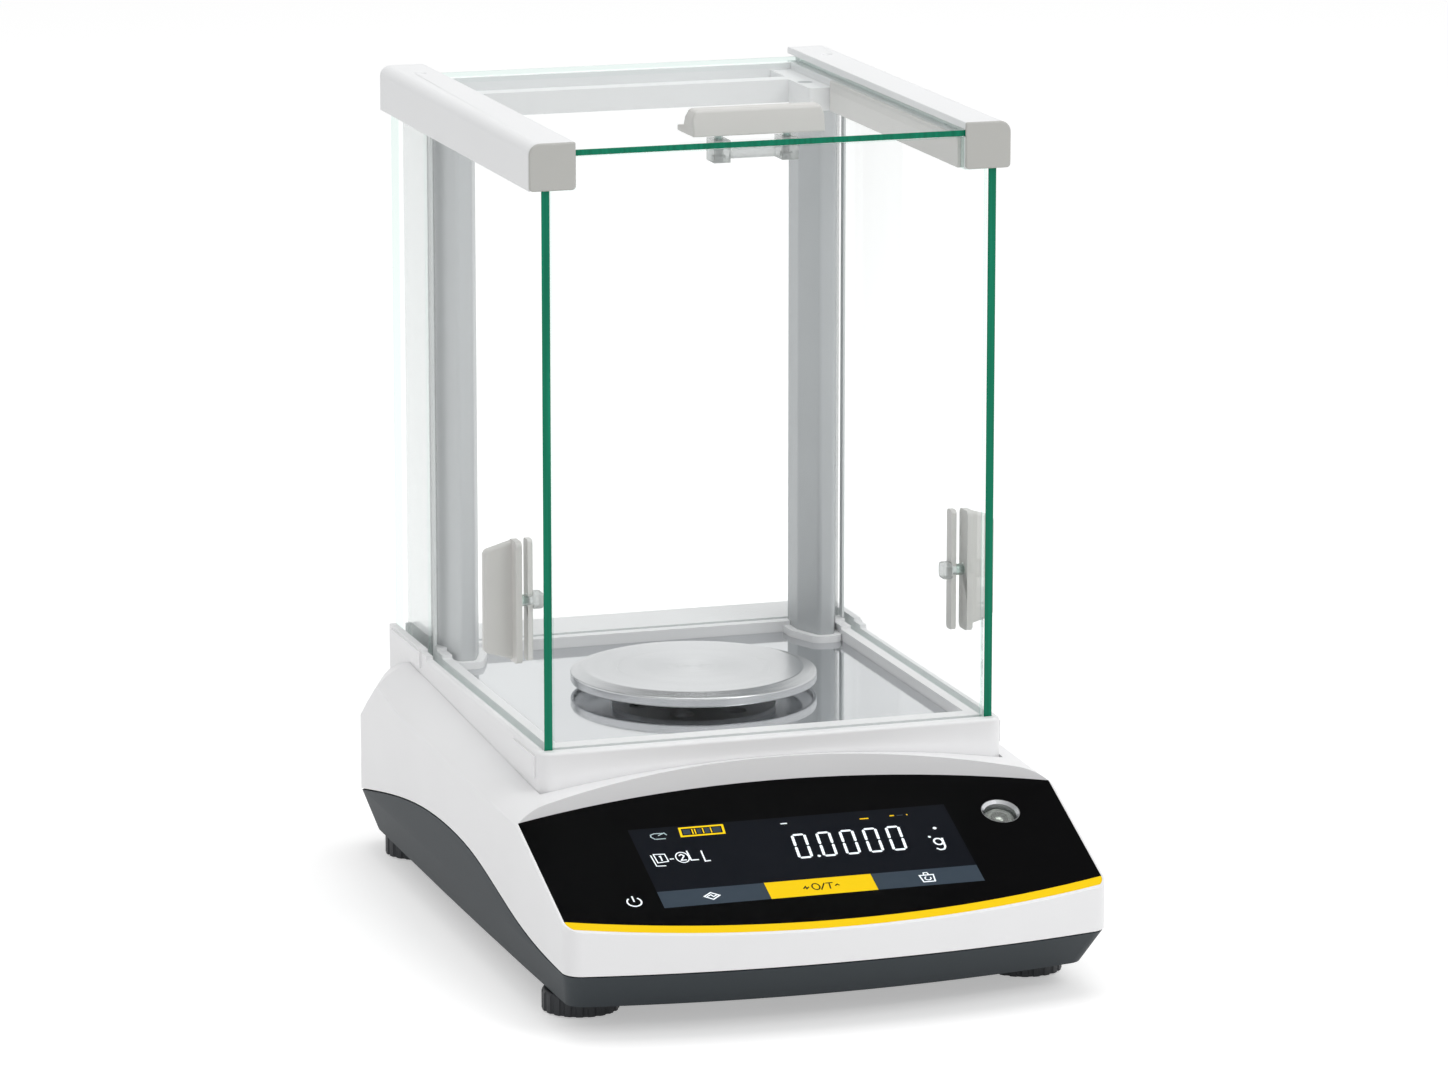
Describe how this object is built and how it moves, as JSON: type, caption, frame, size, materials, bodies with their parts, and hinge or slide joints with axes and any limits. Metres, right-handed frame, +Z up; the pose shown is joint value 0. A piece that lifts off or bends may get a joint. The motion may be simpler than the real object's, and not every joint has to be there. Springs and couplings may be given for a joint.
{
  "type": "laboratory balance",
  "caption": "Analytical balance: crowned housing with sloping display panel, round pan under a glass draft shield with sliding side doors and top door, levelling feet.",
  "frame": {"origin": "on the table under the middle of the balance's bounding box", "axes": "+Z up, +Y to the rear, away from the display, +X to the right as the user sees it"},
  "size_m": [0.1986, 0.2935, 0.3038],
  "materials": {
    "white_shell": "fine satin moulded plastic",
    "dark_base": "satin moulded plastic",
    "yellow": "satin",
    "black_glass": "gloss, printed black behind",
    "screen": "gloss, dark display",
    "slate_key": "smooth",
    "module_body": "matt",
    "bezel_metal": "bright turned",
    "vial": "clear",
    "brass": "turned",
    "screw_steel": "plated",
    "tray_white": "satin moulded plastic",
    "floor_steel": "polished",
    "rail_white": "satin",
    "cap_grey": "satin",
    "post_aluminium": "anodised extrusion",
    "glass": "clear, green edges",
    "guide_glass": "translucent grey",
    "seal": "soft translucent",
    "handle_grey": "satin",
    "clamp_clear": "smooth",
    "pan_steel": "turned, polished rim",
    "support_aluminium": "machined",
    "magnet_steel": "ground",
    "copper": "wound wire",
    "circuit_board": "solder mask",
    "ribbon": "flat cable",
    "socket_black": "moulded",
    "foot_dark": "moulded",
    "pad_rubber": "matt"
  },
  "bodies": {
    "housing": {"top_shell": "white_shell", "base_shell": "dark_base", "accent_strip": "yellow", "panel_glass": "black_glass", "display_screen": "screen", "display_module": "module_body", "soft_keys": "slate_key", "zero_tare_key": "yellow", "level_bezel": "bezel_metal", "level_vial": "vial", "foot_bushes": "brass", "hook_port_cover": "dark_base", "housing_screws": "screw_steel", "shield_tray": "tray_white", "floor_plate": "floor_steel", "rail_strips": "handle_grey", "rear_crossbar": "rail_white", "post_screws": "screw_steel", "front_pane": "glass", "rear_pane": "glass", "weigh_cell_block": "support_aluminium", "load_pin": "screw_steel", "magnet_pot": "magnet_steel", "coil": "copper", "balance_lever": "support_aluminium", "circuit_boards": "circuit_board", "display_cable": "ribbon", "power_jack": "socket_black", "data_port": "socket_black", "rail_caps": "cap_grey", "guide_panes": "guide_glass", "rail_left": "rail_white", "post_left": "post_aluminium", "rail_right": "rail_white", "post_right": "post_aluminium"},
    "door_left": {"side_glass_left": "glass", "seal_strip_left": "seal", "door_grip_left": "handle_grey", "door_plate_left": "handle_grey", "door_knob_left": "clamp_clear"},
    "door_right": {"side_glass_right": "glass", "seal_strip_right": "seal", "door_grip_right": "handle_grey", "door_plate_right": "handle_grey", "door_knob_right": "clamp_clear"},
    "top_door": {"top_glass": "glass", "top_grip": "handle_grey", "top_clamp": "clamp_clear", "top_clamp_screws": "screw_steel"},
    "pan": {"weighing_pan": "pan_steel", "pan_support": "support_aluminium"},
    "foot_front_left": {"foot_front_left": "foot_dark", "foot_pad_front_left": "pad_rubber"},
    "foot_front_right": {"foot_front_right": "foot_dark", "foot_pad_front_right": "pad_rubber"},
    "foot_rear_left": {"foot_rear_left": "foot_dark", "foot_pad_rear_left": "pad_rubber"},
    "foot_rear_right": {"foot_rear_right": "foot_dark", "foot_pad_rear_right": "pad_rubber"}
  },
  "joints": [
    {"name": "door_left_slide", "type": "slide", "parent": "housing", "child": "door_left", "axis": [0, 1, 0], "range_m": [0, 0.105]},
    {"name": "door_right_slide", "type": "slide", "parent": "housing", "child": "door_right", "axis": [0, 1, 0], "range_m": [0, 0.105]},
    {"name": "top_door_slide", "type": "slide", "parent": "housing", "child": "top_door", "axis": [0, 1, 0], "range_m": [0, 0.13]},
    {"name": "pan_lift", "type": "slide", "parent": "housing", "child": "pan", "axis": [0, 0, 1], "range_m": [0, 0.05]},
    {"name": "foot_front_left_screw", "type": "slide", "parent": "housing", "child": "foot_front_left", "axis": [0, 0, -1], "range_m": [0, 0.005]},
    {"name": "foot_front_right_screw", "type": "slide", "parent": "housing", "child": "foot_front_right", "axis": [0, 0, -1], "range_m": [0, 0.005]},
    {"name": "foot_rear_left_screw", "type": "slide", "parent": "housing", "child": "foot_rear_left", "axis": [0, 0, -1], "range_m": [0, 0.005]},
    {"name": "foot_rear_right_screw", "type": "slide", "parent": "housing", "child": "foot_rear_right", "axis": [0, 0, -1], "range_m": [0, 0.005]}
  ]
}
